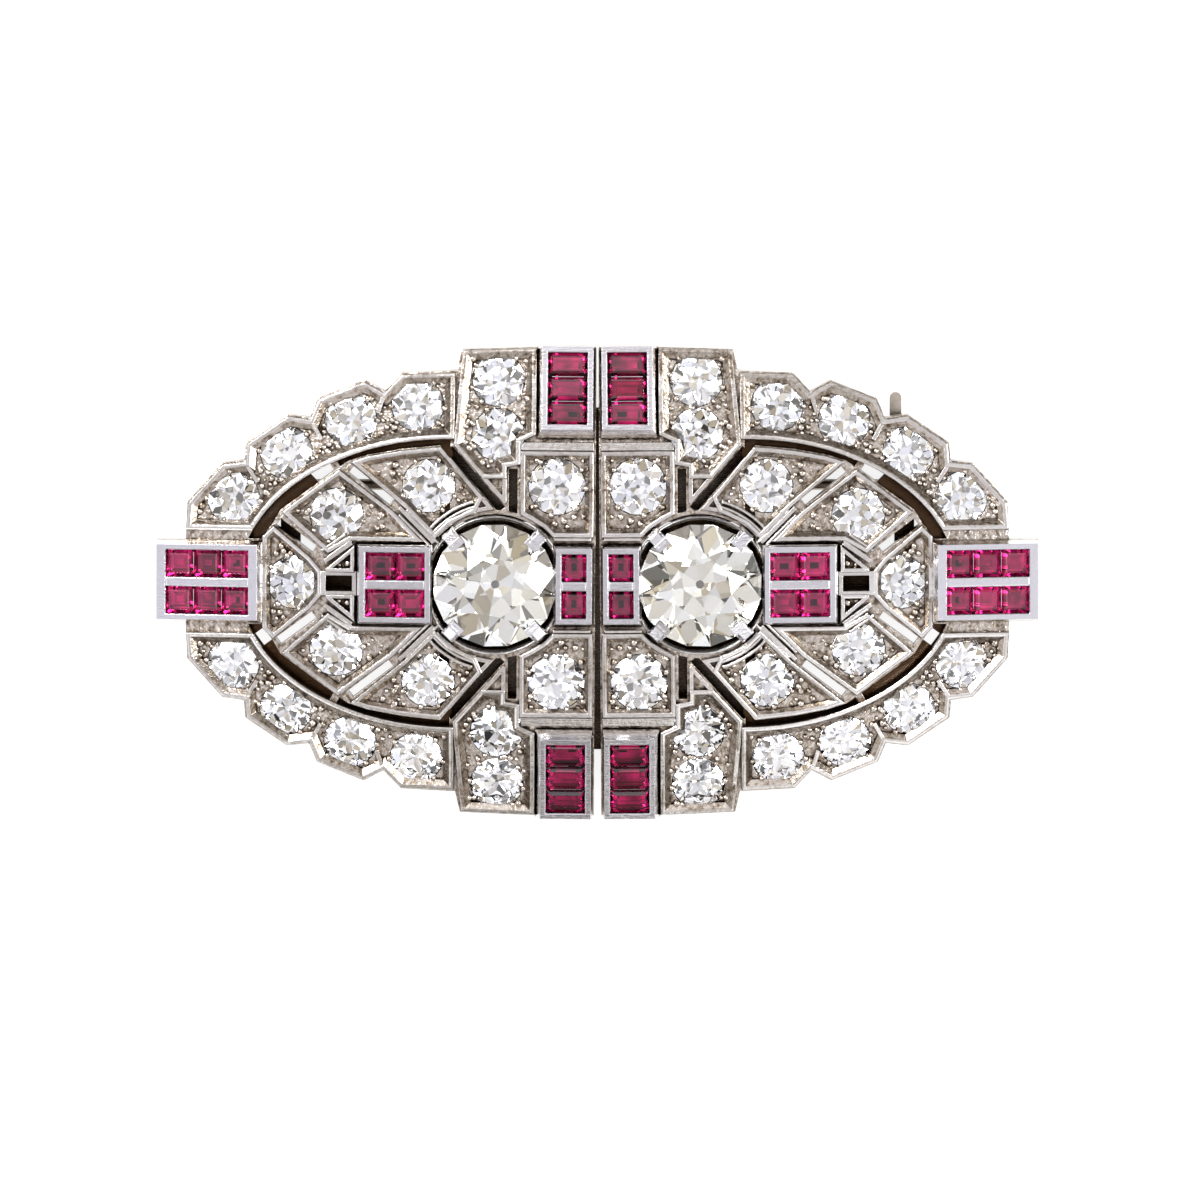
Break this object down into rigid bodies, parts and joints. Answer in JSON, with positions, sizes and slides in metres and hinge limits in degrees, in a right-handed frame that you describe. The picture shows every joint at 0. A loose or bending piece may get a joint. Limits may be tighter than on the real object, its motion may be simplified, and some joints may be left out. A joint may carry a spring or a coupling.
{
  "type": "double clip brooch",
  "caption": "Art Deco double clip brooch: two mirrored pierced clips with old cut diamonds and calibre rubies in raised panels, on a joining frame with a pin.",
  "frame": {"origin": "middle of the brooch's outline, on the surface that it lies on", "axes": "+X to the right and +Y up in the front view, along both clips and up them; +Z out of the face, away from the pin"},
  "size_m": [0.0602, 0.0323, 0.008],
  "materials": {
    "platinum": "polished rims, toned recesses",
    "white_gold": "polished, lightly worn",
    "main_diamond": "old European cut, faint warm tint",
    "diamond": "old European cut, colourless",
    "ruby": "step cut, pinkish red"
  },
  "bodies": {
    "root": {"setting_left": "platinum", "setting_right": "platinum", "clip_fork_left": "white_gold", "clip_fork_right": "white_gold", "pin_frame": "white_gold", "left_main_diamond": "main_diamond", "left_scallop_diamond_1": "diamond", "left_scallop_diamond_2": "diamond", "left_scallop_diamond_3": "diamond", "left_scallop_diamond_4": "diamond", "left_scallop_diamond_5": "diamond", "left_scallop_diamond_6": "diamond", "left_scallop_diamond_7": "diamond", "left_scallop_diamond_8": "diamond", "left_lattice_diamond_1": "diamond", "left_lattice_diamond_2": "diamond", "left_lattice_diamond_3": "diamond", "left_lattice_diamond_4": "diamond", "left_lattice_diamond_5": "diamond", "left_square_diamond_1": "diamond", "left_square_diamond_2": "diamond", "left_column_diamond_1": "diamond", "left_column_diamond_2": "diamond", "left_column_diamond_3": "diamond", "left_column_diamond_4": "diamond", "right_main_diamond": "main_diamond", "right_scallop_diamond_1": "diamond", "right_scallop_diamond_2": "diamond", "right_scallop_diamond_3": "diamond", "right_scallop_diamond_4": "diamond", "right_scallop_diamond_5": "diamond", "right_scallop_diamond_6": "diamond", "right_scallop_diamond_7": "diamond", "right_scallop_diamond_8": "diamond", "right_lattice_diamond_1": "diamond", "right_lattice_diamond_2": "diamond", "right_lattice_diamond_3": "diamond", "right_lattice_diamond_4": "diamond", "right_lattice_diamond_5": "diamond", "right_square_diamond_1": "diamond", "right_square_diamond_2": "diamond", "right_column_diamond_1": "diamond", "right_column_diamond_2": "diamond", "right_column_diamond_3": "diamond", "right_column_diamond_4": "diamond", "left_side_rubies": "ruby", "left_inner_rubies": "ruby", "left_edge_rubies": "ruby", "left_top_rubies": "ruby", "left_bottom_rubies": "ruby", "right_side_rubies": "ruby", "right_inner_rubies": "ruby", "right_edge_rubies": "ruby", "right_top_rubies": "ruby", "right_bottom_rubies": "ruby"}
  },
  "joints": []
}
